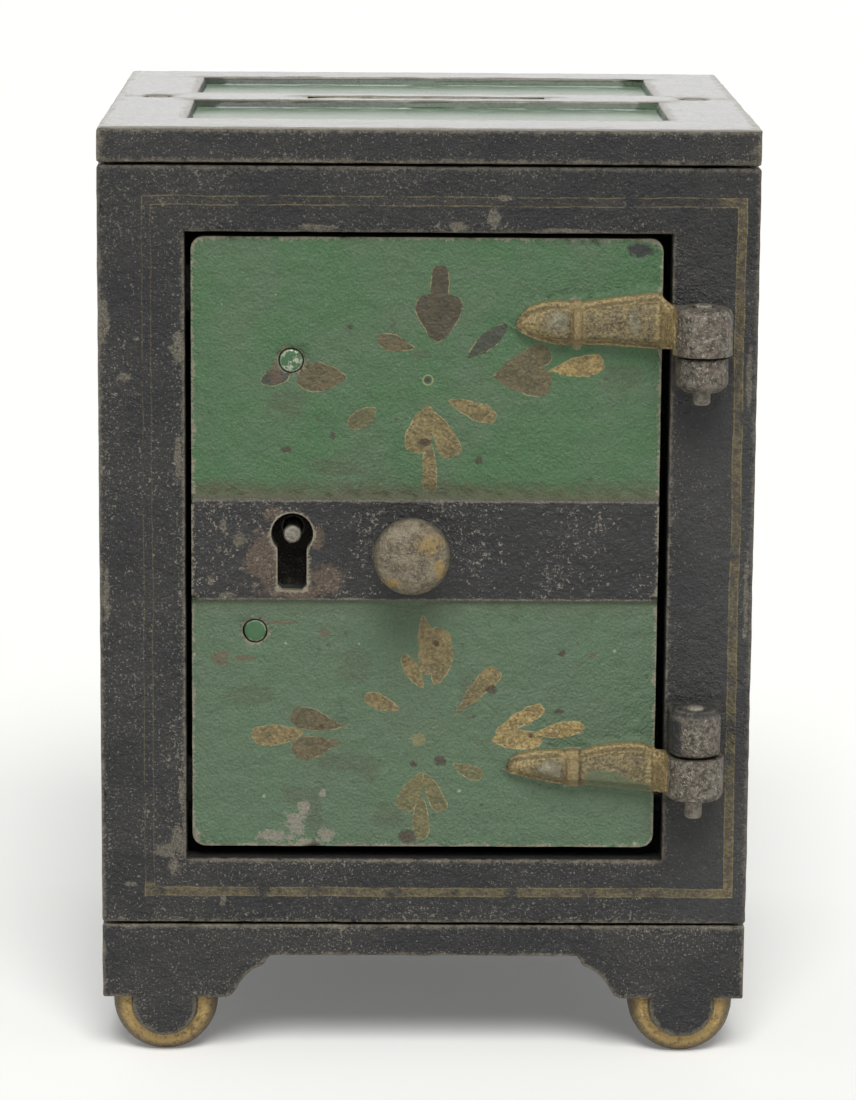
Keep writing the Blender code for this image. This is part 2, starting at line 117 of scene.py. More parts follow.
def soften(bm, where, rounds):
    """Smooths the vertices that lie in the zone `where`."""
    chosen = [v for v in bm.verts if where(v.co)]
    for _ in range(rounds):
        bmesh.ops.smooth_vert(
            bm, verts=chosen, factor=0.5, use_axis_x=True, use_axis_y=True, use_axis_z=True
        )


def round_edges(bm, offset, keep, clamp):
    """Bevels the sharp outer edges, apart from those that begin where `keep` says so."""
    sharp = [
        e for e in bm.edges
        if len(e.link_faces) == 2 and e.calc_face_angle_signed() > math.radians(BEVELLED_ABOVE)
        and not (keep and keep(e.verts[0].co))
    ]
    bmesh.ops.bevel(
        bm, geom=sharp, offset=offset, segments=2, profile=0.55, affect="EDGES",
        clamp_overlap=clamp, loop_slide=True,
    )


def weather(bm, outer, wobble, chip, seed):
    """Makes the surface uneven by `wobble`, and its outer edges chipped by `chip`."""
    moves = []
    for v in bm.verts:
        p = v.co + Vector((seed * 31.0, seed * 17.0, 0))
        depth = wobble * (noise.noise(p * 0.28) + 0.5 * noise.noise(p * 0.8))
        bite = max(0.0, noise.noise(p * 0.55 + Vector((50, 0, 0))) - 0.12) * 3.0
        depth -= chip * bite * max(0.0, 1.0 - outer.find(v.co)[2] / 0.7)
        moves.append(v.normal * depth)
    for v, move in zip(bm.verts, moves):
        v.co += move


def casting(
    node, slot, paint, bevel, grain, wobble=0.05, chip=0.06, smooth=None, keep=None, clamp=True, seed=0
):
    """A worn skin over a CAD node, which also holds each place's distance to the edges for the paint.

    `grain` is the longest mesh edge, as a length or as a function of the place. `smooth` is a zone and
    a number of rounds, `keep` a zone without bevels, and `clamp` keeps bevels from overlapping.
    """
    coarser = 1.0
    bm = bmesh.new()
    bm.from_mesh(frame["nodes"][node].data)
    bm.transform(Matrix.Scale(1 / MM, 4))
    bmesh.ops.remove_doubles(bm, verts=bm.verts, dist=0.001)
    bmesh.ops.dissolve_limit(bm, angle_limit=math.radians(0.6), verts=bm.verts, edges=bm.edges)
    outer, inner = edge_points(bm, True), edge_points(bm, False)
    round_edges(bm, bevel, keep, clamp)
    refine(bm, lambda p: coarser * (grain(p) if callable(grain) else grain))
    if smooth:
        soften(bm, *smooth)
    bm.normal_update()
    distances = [
        (name, [min(edges.find(v.co)[2], FAR_EDGE) for v in bm.verts])
        for name, edges in (("wear", outer), ("crease", inner))
    ]
    weather(bm, outer, wobble, chip, seed)
    bm.transform(Matrix.Scale(MM, 4))
    mesh = bpy.data.meshes.new(node + "_skin")
    bm.to_mesh(mesh)
    bm.free()
    for name, values in distances:
        mesh.attributes.new(name, "FLOAT", "POINT").data.foreach_set("value", values)
    mesh.shade_smooth()
    mesh.set_sharp_from_angle(angle=math.radians(SHADED_SHARP_ABOVE))
    mesh.materials.append(paint)
    obj = bpy.data.objects.new(node + "_skin", mesh)
    bpy.context.scene.collection.objects.link(obj)
    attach(obj, frame["nodes"][node]["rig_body"])
    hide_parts(node)
    return obj


# ---------------------------------------------------------------- paint


class Value:
    """A number or colour inside a node material, which can be used in arithmetic."""

    def __init__(self, shader, socket):
        self.shader, self.socket = shader, socket

    def __add__(self, other):
        return self.shader.math("ADD", self, other)

    def __sub__(self, other):
        return self.shader.math("SUBTRACT", self, other)

    def __rsub__(self, other):
        return self.shader.math("SUBTRACT", other, self)

    def __mul__(self, other):
        return self.shader.math("MULTIPLY", self, other)

    def __truediv__(self, other):
        return self.shader.math("DIVIDE", self, other)

    def __pow__(self, other):
        return self.shader.math("POWER", self, other)

    def __abs__(self):
        return self.shader.math("ABSOLUTE", self)

    __radd__, __rmul__ = __add__, __mul__


class Shader:
    """Builds one node material.

    x, y and z are the place on the object. wear and crease are its distances to outer and inner edges.
    """

    def __init__(self, name):
        self.material = bpy.data.materials.new(name)
        self.material.use_nodes = True
        self.tree = self.material.node_tree
        self.tree.nodes.clear()
        coords = self.node("ShaderNodeTexCoord")
        scaled = self.node("ShaderNodeVectorMath", operation="MULTIPLY_ADD")
        self.tree.links.new(coords.outputs["Object"], scaled.inputs[0])
        scaled.inputs[1].default_value = (1 / MM, 1 / MM, 1 / MM)
        scaled.inputs[2].default_value = (0, -FRONT_Y, 0)
        self.place = scaled.outputs[0]
        split = self.node("ShaderNodeSeparateXYZ")
        self.tree.links.new(self.place, split.inputs[0])
        self.x, self.y, self.z = (Value(self, out) for out in split.outputs)
        self.wear = self.attribute("wear")
        self.crease = self.attribute("crease")

    def node(self, kind, **settings):
        made = self.tree.nodes.new(kind)
        for key, value in settings.items():
            setattr(made, key, value)
        return made

    def feed(self, socket, value):
        """Gives a socket a linked value, a colour or a number."""
        if isinstance(value, Value):
            self.tree.links.new(value.socket, socket)
        elif isinstance(value, tuple) and len(value) == 3:
            socket.default_value = (*value, 1.0)
        else:
            socket.default_value = value

    def math(self, operation, *values, clamp=False):
        made = self.node("ShaderNodeMath", operation=operation, use_clamp=clamp)
        for socket, value in zip(made.inputs, values):
            self.feed(socket, value)
        return Value(self, made.outputs[0])

    def top(self, *values):
        """The largest of the values."""
        best = values[0]
        for value in values[1:]:
            best = self.math("MAXIMUM", best, value)
        return best

    def low(self, *values):
        """The smallest of the values."""
        best = values[0]
        for value in values[1:]:
            best = self.math("MINIMUM", best, value)
        return best

    def attribute(self, name):
        return Value(self, self.node("ShaderNodeAttribute", attribute_name=name).outputs["Fac"])

    def step(self, value, start, end):
        """0 before `start`, 1 after `end`, smooth between. With end below start it falls instead."""
        made = self.node("ShaderNodeMapRange", interpolation_type="SMOOTHSTEP")
        low, high = min(start, end), max(start, end)
        for socket, given in zip(made.inputs, (value, low, high, float(start > end), float(end > start))):
            self.feed(socket, given)
        return Value(self, made.outputs[0])

    def offset(self, seed, stretch):
        """The place, stretched, and moved away by the seed so that textures differ."""
        made = self.node("ShaderNodeVectorMath", operation="MULTIPLY_ADD")
        self.tree.links.new(self.place, made.inputs[0])
        made.inputs[1].default_value = stretch
        made.inputs[2].default_value = (seed * 17.3, seed * 31.7, seed * 5.1)
        return made.outputs[0]

    def noise(self, size, detail=2.0, seed=0.0, rough=0.5, stretch=NO_STRETCH):
        """Noise around 0.5, with features about `size` across."""
        made = self.node("ShaderNodeTexNoise")
        self.tree.links.new(self.offset(seed, stretch), made.inputs["Vector"])
        made.inputs["Scale"].default_value = 1.0 / size
        made.inputs["Detail"].default_value = detail
        made.inputs["Roughness"].default_value = rough
        return Value(self, made.outputs["Fac"])

    def cells(self, size, seed):
        """Distance to the nearest of points scattered about `size` apart, in units of `size`."""
        made = self.node("ShaderNodeTexVoronoi")
        self.tree.links.new(self.offset(seed, NO_STRETCH), made.inputs["Vector"])
        made.inputs["Scale"].default_value = 1.0 / size
        return Value(self, made.outputs["Distance"])

    def mix(self, share, a, b):
        """Colour a where `share` is 0, colour b where it is 1."""
        made = self.node("ShaderNodeMix", data_type="RGBA")
        for index, value in ((0, share), (6, a), (7, b)):
            self.feed(made.inputs[index], value)
        return Value(self, made.outputs[2])

    def blend(self, share, a, b):
        """The same for numbers."""
        made = self.node("ShaderNodeMix", data_type="FLOAT")
        for index, value in ((0, share), (2, a), (3, b)):
            self.feed(made.inputs[index], value)
        return Value(self, made.outputs[0])

    def away(self, x, z):
        """Distance from a point on the front."""
        return ((self.x - x) ** 2.0 + (self.z - z) ** 2.0) ** 0.5

    def blots(self, spots, rough=0.6, size=1.2, seed=3.0):
        """1 inside any of the ragged spots, each given as x, z, half width, half height."""
        ragged = (self.noise(size, 5, seed, 0.75) - 0.5) * rough * 4.5
        inside = [
            1.0 - ((((self.x - x) / a) ** 2.0 + ((self.z - z) / b) ** 2.0) ** 0.5)
            for x, z, a, b in spots
        ]
        return self.step(self.top(*inside) + ragged, 0.0, 0.35)

    def gritty(self, share, seed=0.0, least=0.3):
        """Breaks an even coat into grit, down to `least` of its strength."""
        grit = self.step(self.noise(0.3, 3, seed + 77.0, 0.7), 0.4, 0.6)
        return share * self.blend(grit, least, 1.0)

    def done(self, colour, rough, height, metallic=0.0, specular=0.4, coat=0.0, glow=0.0):
        """Joins everything up in the finished material."""
        shader = self.node("ShaderNodeBsdfPrincipled")
        bump = self.node("ShaderNodeBump")
        bump.inputs["Distance"].default_value = MM
        self.feed(bump.inputs["Height"], height)
        self.tree.links.new(bump.outputs[0], shader.inputs["Normal"])
        self.feed(shader.inputs["Base Color"], colour)
        self.feed(shader.inputs["Roughness"], rough)
        self.feed(shader.inputs["Metallic"], metallic)
        self.feed(shader.inputs["Specular IOR Level"], specular)
        self.feed(shader.inputs["Coat Weight"], coat)
        shader.inputs["Coat Roughness"].default_value = 0.25
        shader.inputs["Emission Color"].default_value = (1, 1, 1, 1)
        shader.inputs["Emission Strength"].default_value = glow
        out = self.node("ShaderNodeOutputMaterial")
        self.tree.links.new(shader.outputs[0], out.inputs["Surface"])
        return self.material


def rgb(r, g, b):
    """A linear colour from 0 to 255 display values."""
    return tuple(
        (c / 255 / 12.92) if c <= 10 else ((c / 255 + 0.055) / 1.055) ** 2.4 for c in (r, g, b)
    )


BLACK_A, BLACK_B = rgb(24, 24, 26), rgb(38, 37, 36)
# the pale fleck colour stands partly for bare iron and partly for painted glints
SPECK_AND_GLINT, WORN, BARE = rgb(128, 124, 112), rgb(94, 87, 75), rgb(138, 131, 116)


class Surface:
    """The running state of a paint job: colour, roughness, height and metal share."""

    def __init__(self, s, colour, rough, height, metal=0.0):
        self.s, self.colour, self.rough, self.height, self.metal = s, colour, rough, height, metal

    def over(self, share, colour=None, rough=None, metal=None):
        """Lays another finish over this one, where `share` is 1."""
        if colour is not None:
            self.colour = self.s.mix(share, self.colour, colour)
        if rough is not None:
            self.rough = self.s.blend(share, self.rough, rough)
        if metal is not None:
            self.metal = self.s.blend(share, self.metal, metal)
        return self

    def done(self, **more):
        return self.s.done(self.colour, self.rough, self.height, self.metal, **more)


def black_paint(s, seed=0.0, speck=0.0, edge=0.0):
    """Old black paint on a pebbly casting, thin at the edges, with pale flecks: partly rubbed-off paint,
    partly painted glints.
    """
    pebble = s.noise(0.9, 3, seed, 0.6)
    fine = s.noise(0.3, 3, seed + 1, 0.65)
    broad = s.noise(12, 3, seed + 2, 0.6)
    ragged = s.noise(1.3, 4, seed + 4, 0.75)
    near = s.step(s.wear, 3.0, 0.2)
    amount = near * 0.04 + (broad - 0.5) * 0.2 + speck
    # pale flecks: partly bare iron where the paint rubbed off, partly painted glints on the pebbles
    freckle_and_glint = s.step(s.noise(0.26, 1, seed + 8, 0.5) + amount, 0.64, 0.72)
    grit = s.step(s.noise(0.6, 2, seed + 9, 0.6) + amount, 0.68, 0.73)
    flake = s.step(ragged + (broad - 0.5) * 0.3 + near * 0.04 + speck, 0.73, 0.76)
    worn = s.step(s.wear + (ragged - 0.5) * 1.6 + (fine - 0.5) * 1.6 - edge, 0.6, 0.1)
    height = pebble * 0.42 + fine * 0.34 + s.noise(2.8, 2, seed + 6) * 0.5
    surface = Surface(s, s.mix(s.step(broad, 0.35, 0.65), BLACK_A, BLACK_B), 0.4, height)
    surface.over(freckle_and_glint * 0.6, SPECK_AND_GLINT, 0.5)
    surface.over(grit * 0.6, BARE, 0.5)
    surface.over(s.gritty(flake, seed) * 0.7, BARE, 0.55)
    surface.over(worn * 0.85, s.mix(s.step(fine, 0.4, 0.62), WORN, BARE), 0.5, 0.2)
    # painted shade: the paint is darkened towards the inner corners and creases
    hollow_shade = s.step(s.crease + (ragged - 0.5) * 2.0, 1.1, 0.1)
    surface.over(hollow_shade * 0.6, rgb(28, 25, 22), 0.7)
    return surface


def frame_paint():
    """Front wall: black with one gilt line all round, nearly gone on the left."""
    s = Shader("front_frame_paint")
    surface = black_paint(s, 1.0, speck=s.step(s.x, 26, 34) * -0.04)
    surface.over(s.step(s.x, 28, 36) * s.step(s.z, 106, 98) * 0.35, rgb(62, 62, 62))
    surface.over(s.step(s.z, 98, 107) * 0.3, rgb(18, 18, 18))
    ragged = s.noise(0.5, 3, 9.0, 0.7)
    drift = (s.noise(7, 2, 5.0) - 0.5) * 0.5
    line = s.top(abs(s.x - 1.9) - 36.8, abs(s.z - 65.85) - 44.15) + drift
    across = abs(line)
    band = s.step(across + (ragged - 0.5) * 0.25, 0.66, 0.56)
    rim = band * s.step(across, 0.44, 0.54)
    bottom, right = s.step(s.z, 23.2, 22.5), s.step(s.x, 35.5, 37.2)
    above = s.step(s.z, 108, 109.5)
    patchy = s.noise(3.2, 4, 12.0, 0.7)
    front = s.step(s.y, 0.8, 0.3)
    left_over = s.step(patchy + right * 0.05 + bottom * 0.05, 0.36, 0.6)
    fill = (bottom * 0.75 + right * 0.7 + above * 0.12) * left_over
    lines = rim * s.step(patchy, 0.36, 0.52) * (0.35 + right * 0.35 + bottom * 0.2 + above * 0.25)
    gilt = s.mix(s.step(s.noise(0.5, 4, 14.0, 0.75), 0.4, 0.6), rgb(116, 104, 74), rgb(76, 70, 54))
    surface.over(band * fill * front, gilt, 0.45, 0.2)
    surface.over(lines * front, rgb(122, 110, 76), 0.45, 0.2)
    bare = s.blots((
        (-40.3, 95.2, 0.9, 3.6), (-37.7, 87.9, 0.9, 0.6), (-31.0, 91.5, 1.0, 2.2), (-31.1, 77.5, 0.5, 3.0),
        (-31.2, 28.6, 0.9, 2.2), (-33.0, 27.0, 1.6, 1.2), (-31.8, 24.9, 1.0, 1.1), (-25.6, 20.3, 0.5, 0.9),
        (-14.0, 106.7, 2.4, 0.5), (3.6, 106.9, 1.4, 0.7), (-40.2, 60.0, 0.5, 5.0), (-30.8, 34.5, 0.4, 2.6),
        (-37.5, 22.6, 0.9, 0.4), (17.0, 106.5, 3.0, 0.3), (-36.0, 17.4, 1.6, 0.4), (-38.5, 18.0, 0.7, 0.5),
        (8.0, 108.0, 0.9, 1.3), (9.5, 110.5, 1.0, 0.5), (40.0, 88.0, 0.4, 5.0), (40.2, 60.0, 0.4, 6.0),
    ))
    surface.over(s.gritty(bare, 1.0) * front * 0.85, s.mix(ragged, BARE, WORN), 0.55, 0.2)
    surface.over(s.step(s.y, 0.4, 0.8) * s.step(abs(s.x), 34.0, 31.0) * 0.75, rgb(18, 17, 16), 0.7)
    upper = s.step(s.z, 80, 81)
    lower_inner_end = (1.0 - upper) * s.step(s.x, 32.8, 31.2)
    face = s.step(s.y + (ragged - 0.5) * 1.5 + lower_inner_end * 3.0, -4.2, -5.2)
    below = s.top(upper, s.step(s.z + (ragged - 0.5) * 0.8, 46.5, 46.0))
    iron_lug(s, surface, s.top(face * below, s.step(s.y, -0.25, -0.6) * upper))
    return surface.done()


def iron_lug(s, surface, share):
    """Rubbed bare iron over the hinge knuckles: brown, with pale scratches and some black left."""
    mottle = s.noise(0.8, 4, 21.0, 0.75)
    left = s.noise(2.0, 3, 23.0, 0.6)
    iron = s.mix(s.step(mottle, 0.38, 0.6), rgb(60, 56, 50), rgb(116, 109, 97))
    iron = s.mix(s.step(left, 0.5, 0.62) * 0.6, iron, rgb(84, 70, 62))
    iron = s.mix(s.step(s.noise(0.35, 3, 25.0, 0.75), 0.56, 0.66) * 0.8, iron, rgb(164, 158, 146))
    iron = s.mix(s.step(s.noise(0.9, 4, 27.0, 0.75), 0.6, 0.68) * 0.8, iron, rgb(40, 38, 36))
    surface.over(share, iron, 0.42, 0.35)


def leaf(s, x, z, tip, heel, half, point=0.8, heel_power=0.4):
    """How far inside a leaf shape a place is. `point` thins the tip, `heel_power` blunts the heel."""
    length = math.dist(tip, heel)
    ux, uz = (heel[0] - tip[0]) / length, (heel[1] - tip[1]) / length
    dx, dz = x - tip[0], z - tip[1]
    along = s.math("MULTIPLY", dx * ux + dz * uz, 1 / length, clamp=True)
    across = abs(dx * uz - dz * ux)
    peak = point / (point + heel_power)
    scale = half / (peak**point * (1 - peak) ** heel_power)
    return (along**point) * ((1.0 - along) ** heel_power) * scale - across


# Gilt leaves by how tarnished they are: tip, heel, half width, tip power, heel power.
BRIGHT = (
    ((15.0, 88.8), (21.9, 89.9), 1.4, 0.9, 0.35),
    ((8.9, 42.3), (14.9, 45.8), 1.05, 0.6, 0.35),
    ((8.3, 41.5), (14.9, 41.5), 1.25, 0.6, 0.35),
    ((14.2, 42.3), (20.2, 43.3), 1.1, 0.7, 0.4),
)
GOLD = (
    ((2.5, 85.0), (8.6, 82.8), 1.15, 0.75, 0.4),
    ((0.1, 84.4), (-1.7, 78.4), 1.65, 0.75, 0.35),
    ((0.1, 84.3), (3.4, 77.9), 1.45, 0.8, 0.25),
    ((0.2, 79.6), (0.4, 73.4), 0.95, 0.25, 0.15),
    ((-0.35, 57.7), (0.2, 52.3), 1.0, 0.65, 0.3),
    ((-0.2, 49.9), (2.1, 55.9), 1.9, 0.6, 0.4),
    ((1.2, 48.6), (3.0, 54.0), 1.1, 0.5, 0.45),
    ((-0.3, 48.1), (-2.8, 52.3), 0.95, 0.8, 0.4),
    ((3.3, 44.2), (9.1, 50.8), 1.25, 1.4, 0.4),
    ((-3.0, 45.3), (-7.6, 47.2), 1.0, 0.9, 0.45),
    ((-15.3, 42.3), (-21.9, 41.8), 1.4, 0.7, 0.3),
)
OLIVE = (
    ((-6.4, 84.0), (-9.8, 81.6), 1.1, 0.6, 0.4),
    ((3.6, 38.4), (7.3, 36.6), 0.95, 0.8, 0.4),
    ((-0.3, 37.3), (-2.9, 32.3), 1.35, 0.7, 0.25),
    ((-0.1, 37.2), (2.2, 32.2), 1.15, 0.75, 0.25),
    ((-0.5, 34.2), (-0.4, 28.3), 1.1, 0.7, 0.4),
)
BROWN = (
    ((8.1, 88.2), (15.1, 91.3), 1.45, 0.95, 0.25),
    ((8.1, 88.1), (15.5, 87.3), 1.95, 0.95, 0.4),
    ((-9.4, 42.9), (-17.0, 44.6), 1.5, 1.4, 0.5),
    ((-10.3, 41.2), (-16.9, 40.0), 1.5, 1.2, 0.5),
    ((-10.1, 87.9), (-16.3, 87.8), 1.85, 0.75, 0.45),
    ((-1.5, 91.6), (-6.3, 92.7), 1.05, 0.8, 0.4),
)
UMBER = (
    ((1.6, 96.4), (1.35, 102.0), 1.15, 0.4, 0.3),
    ((1.2, 92.2), (-0.3, 98.3), 1.75, 0.8, 0.35),
    ((1.2, 92.2), (2.9, 98.3), 1.75, 0.8, 0.35),
)
SLATE = (((4.8, 90.3), (9.9, 94.6), 1.1, 0.9, 0.65), ((-17.2, 88.4), (-20.8, 87.2), 1.0, 0.5, 0.5))


def gild(s, surface, panel):
    """The two gilt leaf sprays on the door's panels."""
    x = s.x + (s.noise(1.6, 2, 31.0) - 0.5) * 0.7
    z = s.z + (s.noise(1.6, 2, 37.0) - 0.5) * 0.7
    grain = s.noise(0.45, 4, 41.0, 0.75)
    cloud = s.noise(1.7, 3, 43.0, 0.6)
    finishes = (
        (BRIGHT, rgb(164, 142, 92), rgb(112, 96, 64), 0.92, 0.3),
        (GOLD, rgb(138, 120, 80), rgb(94, 82, 56), 0.88, 0.25),
        (OLIVE, rgb(120, 108, 72), rgb(86, 82, 54), 0.82, 0.2),
        (BROWN, rgb(104, 88, 62), rgb(70, 62, 44), 0.85, 0.15),
        (UMBER, rgb(74, 64, 46), rgb(56, 50, 40), 0.95, 0.1),
        (SLATE, rgb(66, 64, 52), rgb(50, 50, 44), 0.9, 0.05),
    )
    for leaves, light, dark, cover, metal in finishes:
        inside = s.top(*(leaf(s, x, z, *shape) for shape in leaves))
        area = s.step(inside + (grain - 0.5) * 0.12, -0.02, 0.05) * panel
        colour = s.mix(s.step(grain * 0.7 + cloud * 0.3, 0.4, 0.6), light, dark)
        surface.over(area * cover, colour, 0.42, metal)
        rim = area * s.step(inside, 0.18, 0.06) * s.step(cloud, 0.44, 0.56)
        surface.over(rim * 0.6, rgb(166, 152, 108), 0.4, 0.3)
        surface.over(area * s.step(s.noise(0.5, 3, 45.0, 0.7), 0.6, 0.68) * 0.45, rgb(60, 54, 40), 0.5, 0.0)
    return surface


def door_paint():
    """Door: green panels with gilt sprays, a black band between them, and gilt straps."""
    s = Shader("door_paint")
    pebble = s.noise(1.0, 3, 51.0, 0.55)
    fine = s.noise(0.28, 2, 52.0, 0.6)
    broad = s.noise(9, 3, 53.0, 0.6)
    ragged = s.noise(1.5, 4, 54.0, 0.7)
    height = pebble * 0.2 + s.noise(0.38, 3, 58.0, 0.65) * 0.28 + s.noise(3.2, 2, 56.0) * 0.5
    upper = s.step(s.z, 66, 67)
    green = s.mix(upper, rgb(80, 103, 77), rgb(65, 99, 63))
    green = s.mix(s.step(broad, 0.36, 0.64) * 0.6, green, rgb(82, 99, 77))
    surface = Surface(s, green, 0.4, height)
    surface.over(s.step(s.noise(2.4, 4, 57.0, 0.7), 0.6, 0.72) * 0.4, rgb(54, 68, 48), 0.5)
    surface.over(s.step(s.noise(0.7, 4, 59.0, 0.7), 0.6, 0.72) * 0.5, rgb(52, 64, 48), 0.5)
    surface.over(s.step(s.noise(0.24, 2, 60.0, 0.6), 0.5, 0.68) * 0.35, rgb(48, 62, 46), 0.5)
    surface.over(s.step(s.noise(0.26, 2, 63.0, 0.6), 0.58, 0.72) * 0.35, rgb(116, 128, 104), 0.5)
    panel = s.step(s.y, 1.5, 1.2) * s.step(s.y, 0.2, 0.5)
    gild(s, surface, panel)
    weather_door(s, surface, panel, ragged, fine)
    band_paint(s, surface, pebble, fine, ragged)
    worn = s.step(s.wear + (ragged - 0.5) * 1.8 + (fine - 0.5) * 1.2, 0.42, 0.12)
    outline = s.step(abs(abs(s.z - BAND_Z) - BAND_HALF), 0.5, 0.8) * s.step(s.y, 1.6, 1.2)
    surface.over(worn * outline * 0.85, s.mix(pebble, WORN, rgb(156, 150, 130)), 0.5, 0.2)
    surface.over(s.step(s.y, 1.3, 1.7) * 0.92, rgb(30, 29, 27), 0.7)
    strap_paint(s, surface, fine, ragged)
    return surface.done()


def weather_door(s, surface, panel, ragged, fine):
    """Dirt, stains, chips and flecks on the green panels, and the middles of the two sprays."""
    above = s.step(s.z + (ragged - 0.5) * 4.0, 75.6, 72.6) * s.step(s.z, 72, 72.6)
    below = s.step(s.z + (ragged - 0.5) * 3.0, 56.5, 60.0) * s.step(s.z, 59.8, 59.4)
    surface.over((above * 0.75 + below * 0.3) * panel, rgb(74, 68, 48), 0.55)
    dirt = s.blots((
        (-17.6, 84.4, 2.6, 2.2), (-8.2, 82.6, 2.4, 1.8), (2.6, 73.8, 4.8, 1.0), (-4.5, 95.0, 0.5, 1.4),
        (-0.8, 90.6, 1.8, 0.9), (-7.2, 37.4, 1.7, 1.6), (-4.6, 31.5, 2.2, 2.0), (24.5, 88.2, 3.0, 2.0),
        (-26.5, 74.0, 3.0, 1.2), (-16.5, 34.0, 3.0, 1.5), (-12.0, 76.5, 5.0, 1.4), (-10.0, 38.6, 5.0, 1.4),
        (-9.0, 51.0, 2.6, 2.6), (-22.0, 47.0, 4.0, 1.5), (-14.0, 32.0, 1.2, 3.4), (5.5, 47.5, 1.5, 3.5),
    ), 0.5, 1.6, 5.0)
    surface.over(s.gritty(dirt, 5.0) * panel * 0.55, rgb(72, 72, 54), 0.55)
    spots = s.blots((
        (-0.3, 79.7, 1.1, 0.55), (1.3, 54.0, 0.5, 0.5), (8.4, 48.0, 0.8, 0.75), (1.9, 38.7, 1.0, 0.75),
        (-13.1, 43.1, 0.45, 0.45), (-1.4, 38.2, 0.5, 0.5), (-17.6, 78.7, 0.8, 0.45), (-11.8, 80.5, 0.5, 0.5),
        (6.5, 77.4, 0.55, 0.6), (-2.2, 28.8, 1.2, 1.1), (0.0, 87.6, 0.45, 0.45), (13.4, 42.0, 0.35, 0.35),
        (16.9, 45.2, 0.7, 0.35), (17.2, 52.8, 0.5, 0.5), (-9.7, 94.2, 0.5, 0.4),
    ), 0.45, 0.7, 7.0)
    surface.over(s.gritty(spots, 4.0, 0.65) * panel, rgb(62, 50, 42), 0.6)
    rust = s.blots((
        (-25.7, 52.0, 1.3, 1.2), (-22.8, 52.0, 1.6, 0.5), (-12.8, 55.3, 0.8, 0.7), (-18.0, 56.6, 2.4, 0.4),
        (-18.9, 88.2, 0.9, 1.6), (21.0, 52.5, 0.5, 0.5),
    ), 0.5, 0.8, 8.0)
    surface.over(s.gritty(rust, 2.0, 0.5) * panel * 0.8, rgb(96, 76, 62), 0.65)
    bare = s.blots((
        (-19.0, 28.7, 2.6, 1.0), (-16.4, 30.6, 1.6, 1.6), (-15.3, 32.6, 0.9, 1.2), (-12.6, 29.0, 1.2, 1.2),
        (-13.0, 34.4, 0.45, 0.6), (-14.6, 28.0, 2.0, 0.5), (-29.0, 29.0, 0.6, 0.8),
    ), 0.7, 0.9, 11.0)
    metal = s.mix(fine, rgb(150, 144, 130), rgb(112, 106, 94))
    surface.over(s.gritty(bare, 3.0, 0.6) * panel, metal, 0.6, 0.1)
    chip = s.blots(((26.3, 104.0, 2.0, 1.0), (28.6, 105.2, 0.9, 0.7)), 0.4, 0.8, 13.0)
    surface.over(chip * panel * 0.95, rgb(38, 38, 38), 0.5)
    dots = s.step(s.cells(2.7, 61.0) + (s.noise(5, 2, 62.0) - 0.5) * 0.35, 0.085, 0.06)
    surface.over(dots * panel * 0.55, rgb(62, 66, 48), 0.5)
    light = s.step(s.cells(4.2, 65.0) + (s.noise(6, 2, 66.0) - 0.5) * 0.3, 0.045, 0.03)
    surface.over(light * panel * 0.6, rgb(150, 162, 138), 0.5)
    for rivet in (UPPER_RIVET, LOWER_RIVET):
        ring = s.step(s.away(*rivet) + (ragged - 0.5) * 0.5, 2.0, 1.65)
        surface.over(ring * panel * 0.5, rgb(48, 48, 38), 0.6)
    eye = s.step(abs(s.away(0.04, 87.6) - 0.62), 0.12, 0.05)
    surface.over(eye * panel * 0.6, rgb(150, 150, 108), 0.5)
    heart = s.step(s.away(-1.0, 41.3) + (ragged - 0.5) * 3.0, 1.1, 0.8)
    surface.over(heart * panel * 0.6, rgb(128, 118, 78), 0.5)


